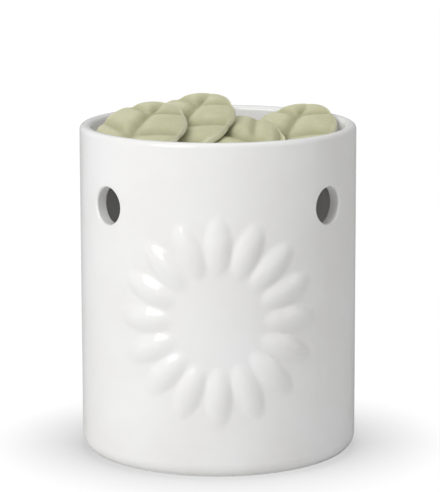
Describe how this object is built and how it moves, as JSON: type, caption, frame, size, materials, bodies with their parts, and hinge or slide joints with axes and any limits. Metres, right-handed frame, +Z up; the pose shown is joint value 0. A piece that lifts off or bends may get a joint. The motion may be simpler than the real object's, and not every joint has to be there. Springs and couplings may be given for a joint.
{
  "type": "wax melt warmer",
  "caption": "Cylindrical glazed ceramic wax melt warmer with a shallow dish on top holding leaf-shaped wax melts, round vents, a relief rosette and a rear doorway for the tea light inside.",
  "frame": {"origin": "centre of the foot ring, on the surface that the warmer stands on", "axes": "+Z up along the body's axis, the rosette and the vents towards -Y, the doorway towards +Y"},
  "size_m": [0.09, 0.0914, 0.1151],
  "materials": {
    "glazed_earthenware": "glossy white glaze, bare on the foot ring",
    "scented_wax": "matte sage green moulded wax",
    "aluminium_sheet": "bright drawn sheet",
    "candle_wax": "white poured paraffin",
    "tinned_steel": "pressed tinplate",
    "cotton_wick": "waxed braided cotton"
  },
  "bodies": {
    "warmer": {"warmer_body": "glazed_earthenware"},
    "tealight": {"tealight_cup": "aluminium_sheet", "tealight_wax": "candle_wax", "wick_sustainer": "tinned_steel", "wick": "cotton_wick"},
    "melt_1": {"leaf_melt_1": "scented_wax"},
    "melt_2": {"leaf_melt_2": "scented_wax"},
    "melt_3": {"leaf_melt_3": "scented_wax"},
    "melt_4": {"leaf_melt_4": "scented_wax"}
  },
  "joints": [
    {"name": "tealight_slide", "type": "slide", "parent": "warmer", "child": "tealight", "axis": [0, 1, 0], "range_m": [0, 0.075]},
    {"name": "melt_1_lift", "type": "slide", "parent": "warmer", "child": "melt_1", "axis": [0, 0.9157, 0.402], "range_m": [0, 0.06]},
    {"name": "melt_2_lift", "type": "slide", "parent": "warmer", "child": "melt_2", "axis": [0, 0.9157, 0.402], "range_m": [0, 0.06]},
    {"name": "melt_3_lift", "type": "slide", "parent": "warmer", "child": "melt_3", "axis": [0, 0.9157, 0.402], "range_m": [0, 0.06]},
    {"name": "melt_4_lift", "type": "slide", "parent": "warmer", "child": "melt_4", "axis": [0, 0.9157, 0.402], "range_m": [0, 0.06]}
  ]
}
